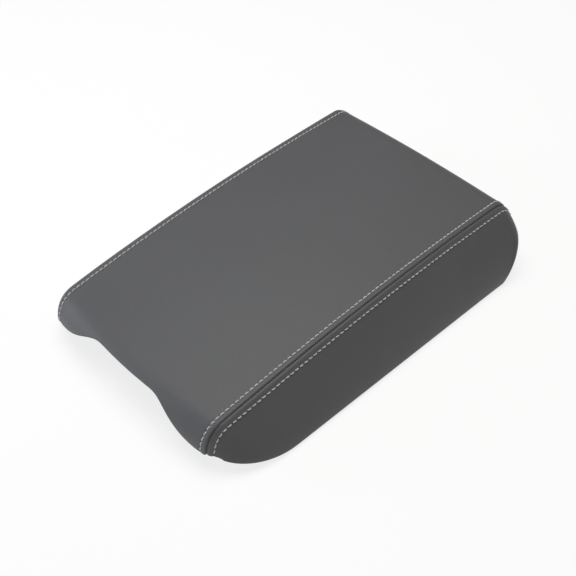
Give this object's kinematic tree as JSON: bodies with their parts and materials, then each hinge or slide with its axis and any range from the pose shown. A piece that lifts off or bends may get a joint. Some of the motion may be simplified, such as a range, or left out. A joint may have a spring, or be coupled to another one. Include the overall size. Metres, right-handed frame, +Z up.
{
  "type": "center console lid",
  "caption": "Padded armrest lid of a car's centre console, in grey leather with two lengthwise French seams, with its liner, rear hinge and front latch.",
  "frame": {"origin": "under the middle of the lid, on the top face of the console it closes", "axes": "+X to the right, +Y to the rear hinge, +Z up"},
  "size_m": [0.2266, 0.3098, 0.0562],
  "materials": {
    "grey_leather": "fine-grained automotive leather, matt satin",
    "grey_foam": "open-cell polyurethane foam",
    "black_shell_plastic": "plain moulded black plastic",
    "grained_liner_plastic": "fine-grained moulded black plastic",
    "satin_latch_plastic": "satin moulded black plastic",
    "black_rubber": "matt black rubber",
    "zinc_plated_steel": "zinc-plated steel",
    "black_hinge_steel": "black electrocoated steel"
  },
  "bodies": {
    "lid": {"bumper_front_left": "black_rubber", "bumper_front_right": "black_rubber", "bumper_rear_left": "black_rubber", "bumper_rear_right": "black_rubber", "cover_side_panel_left": "grey_leather", "cover_side_panel_right": "grey_leather", "cover_top_panel": "grey_leather", "foam_pad": "grey_foam", "hinge_pin": "zinc_plated_steel", "hinge_pin_clip": "zinc_plated_steel", "hinge_screw_1": "zinc_plated_steel", "hinge_screw_2": "zinc_plated_steel", "hinge_screw_3": "zinc_plated_steel", "hinge_screw_4": "zinc_plated_steel", "hinge_spring": "zinc_plated_steel", "hinge_upper_leaf": "black_hinge_steel", "inner_liner": "grained_liner_plastic", "latch_housing": "satin_latch_plastic", "latch_pin": "zinc_plated_steel", "latch_pin_clip": "zinc_plated_steel", "latch_screw_1": "zinc_plated_steel", "latch_screw_2": "zinc_plated_steel", "latch_spring": "zinc_plated_steel", "lid_shell": "black_shell_plastic", "liner_screw_1": "zinc_plated_steel", "liner_screw_2": "zinc_plated_steel", "liner_screw_3": "zinc_plated_steel", "liner_screw_4": "zinc_plated_steel", "liner_screw_5": "zinc_plated_steel", "liner_screw_6": "zinc_plated_steel"},
    "hinge_base": {"hinge_base": "black_hinge_steel"},
    "latch": {"latch_paddle": "satin_latch_plastic"}
  },
  "joints": [
    {"name": "hinge", "type": "hinge", "parent": "lid", "child": "hinge_base", "pos_m": [0, 0.12209, 0.009], "axis": [1, 0, 0], "range_deg": [0, 95], "deforming": ["hinge_spring"]},
    {"name": "latch", "type": "hinge", "parent": "lid", "child": "latch", "pos_m": [0, -0.10591, 0.013], "axis": [-1, 0, 0], "range_deg": [0, 15], "stiffness_Nm_per_rad": 0.02, "springref_deg": -14.32, "deforming": ["latch_spring"]}
  ]
}
